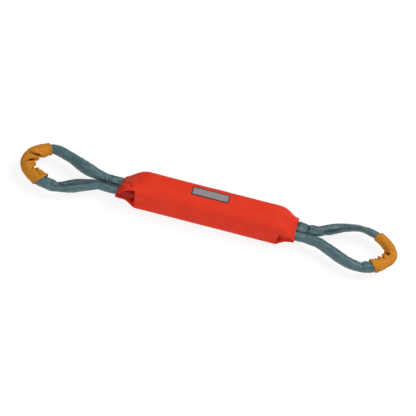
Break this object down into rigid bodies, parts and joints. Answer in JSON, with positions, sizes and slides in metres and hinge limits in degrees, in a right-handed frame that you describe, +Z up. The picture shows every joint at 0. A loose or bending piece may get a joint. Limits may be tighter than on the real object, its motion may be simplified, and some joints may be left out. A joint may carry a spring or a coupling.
{
  "type": "floating training bumper",
  "caption": "Padded throw-and-retrieve bumper: rounded square foam block in a sewn cover, with a stuffed webbing loop and a fabric grip at each end.",
  "frame": {"origin": "middle of the bumper's length and width, on the surface that it rests on", "axes": "+X along the bumper from the left loop to the right loop, +Y from the front to the rear, +Z up through the label"},
  "size_m": [0.6154, 0.0936, 0.0525],
  "materials": {
    "foam": "matte",
    "cover_fabric": "matte",
    "red_thread": "matte",
    "webbing": "matte",
    "filler": "matte",
    "grip_fabric": "matte",
    "amber_thread": "matte",
    "grey_thread": "matte",
    "label": "matte"
  },
  "bodies": {
    "bumper": {"foam_upper": "foam", "foam_lower": "foam", "cover": "cover_fabric", "cover_seam_stitching": "red_thread", "left_mouth_stitching": "red_thread", "right_mouth_stitching": "red_thread", "strap_front": "webbing", "strap_rear": "webbing", "label": "label", "label_stitching": "grey_thread"},
    "left_loop": {"left_webbing": "webbing", "left_filler": "filler", "left_grip": "grip_fabric", "left_grip_stitching": "amber_thread", "left_bar_tack": "grey_thread"},
    "right_loop": {"right_webbing": "webbing", "right_filler": "filler", "right_grip": "grip_fabric", "right_grip_stitching": "amber_thread", "right_bar_tack": "grey_thread"}
  },
  "joints": [
    {"name": "left_loop_fold", "type": "hinge", "parent": "bumper", "child": "left_loop", "pos_m": [-0.157, 0, 0.021], "axis": [0, 1, 0], "range_deg": [-3.5, 100]},
    {"name": "right_loop_fold", "type": "hinge", "parent": "bumper", "child": "right_loop", "pos_m": [0.157, 0, 0.021], "axis": [0, -1, 0], "range_deg": [-3.5, 100]}
  ]
}
